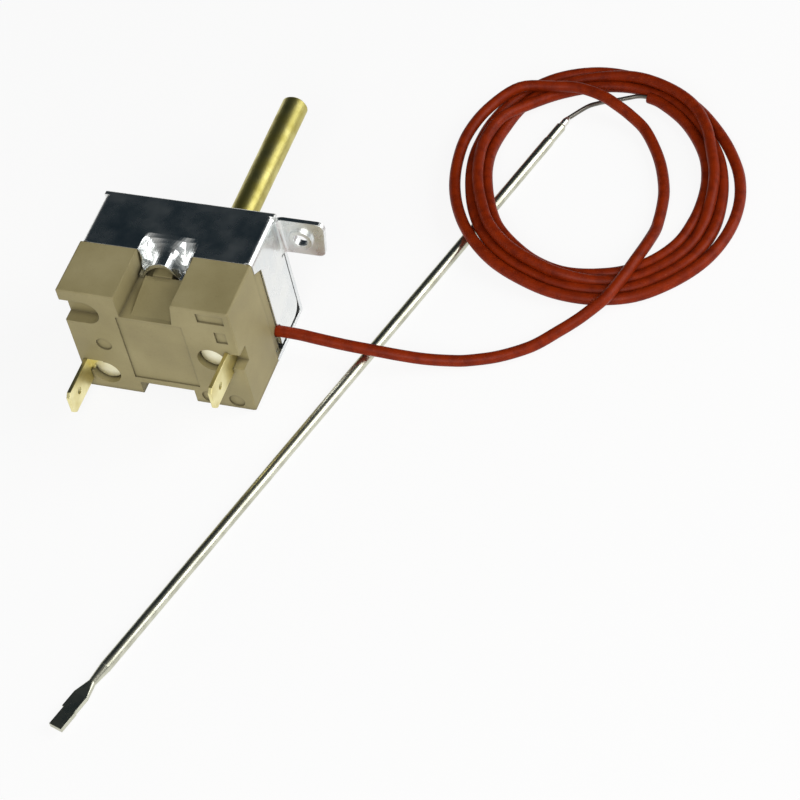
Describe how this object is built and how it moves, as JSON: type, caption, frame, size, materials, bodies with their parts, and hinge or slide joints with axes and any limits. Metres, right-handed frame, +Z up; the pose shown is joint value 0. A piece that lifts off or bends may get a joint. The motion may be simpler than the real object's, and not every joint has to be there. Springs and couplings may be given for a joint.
{
  "type": "capillary thermostat",
  "caption": "Adjustable capillary thermostat: a riveted switch head with a brass spindle and blade terminals, a sleeved capillary in a loose coil and a long sensing bulb.",
  "frame": {"origin": "on the outer face of the mounting plate, on the spindle's axis, midway between the two tapped fixing holes", "axes": "+Y along the spindle, away from the terminals; +Z up, square to the resting face; +X towards the capillary's exit and the screw ear"},
  "size_m": [0.129, 0.1963, 0.031],
  "materials": {
    "thermoset": "matt moulded",
    "zinc_plated_steel": "bright zinc",
    "turned_brass": "turned",
    "plain_steel": "satin",
    "spring_steel": "dark spring steel",
    "stainless": "satin",
    "drawn_tube": "dull drawn",
    "ceramic": "unglazed",
    "dark_thermoset": "matt moulded",
    "spring_copper": "rolled",
    "silver_contact": "bright",
    "sheet_brass": "rolled",
    "rivet_brass": "bright",
    "silicone_sleeve": "satin",
    "braze": "bright",
    "bulb_tube": "drawn tube"
  },
  "bodies": {
    "case": {"switch_base": "thermoset", "steel_cover": "zinc_plated_steel", "spindle_bush": "turned_brass", "upper_guide": "plain_steel", "lower_guide": "plain_steel", "pin_guide_plate": "dark_thermoset", "return_spring": "spring_steel", "common_terminal": "sheet_brass", "output_terminal": "sheet_brass", "fixed_contact": "silver_contact", "common_rivet": "rivet_brass", "output_rivet": "rivet_brass", "sleeve_lead": "silicone_sleeve", "sleeve_coil": "silicone_sleeve", "bare_capillary": "drawn_tube", "bulb_braze": "braze", "sensing_bulb": "bulb_tube"},
    "spindle": {"spindle": "turned_brass", "stop_washer": "plain_steel", "retaining_ring": "spring_steel"},
    "feed": {"feed_nut": "turned_brass", "capsule_back": "stainless", "capsule_membrane": "stainless", "thrust_button": "plain_steel", "capillary_tail": "drawn_tube"},
    "pin": {"push_pin": "ceramic"},
    "arm": {"contact_arm": "spring_copper", "moving_contact": "silver_contact"}
  },
  "joints": [
    {"name": "spindle_turn", "type": "hinge", "parent": "case", "child": "spindle", "pos_m": [0, 0, 0], "axis": [0, -1, 0], "range_deg": [0, 300]},
    {"name": "capsule_feed", "type": "slide", "parent": "case", "child": "feed", "axis": [0, 1, 0], "range_m": [0, 0.00064]},
    {"name": "pin_slide", "type": "slide", "parent": "case", "child": "pin", "axis": [0, 1, 0], "range_m": [0, 0.00064]},
    {"name": "arm_rock", "type": "hinge", "parent": "case", "child": "arm", "pos_m": [-0.01574, -0.0204, -0.00874], "axis": [-0.4855, 0, 0.8743], "range_deg": [0, 2]}
  ],
  "couplings": [
    {"joint": "capsule_feed", "follows": "spindle_turn", "m_per_rad": 0.00011937},
    {"joint": "pin_slide", "follows": "spindle_turn", "m_per_rad": 0.00011937},
    {"joint": "arm_rock", "follows": "spindle_turn", "ratio": 0.006366}
  ]
}
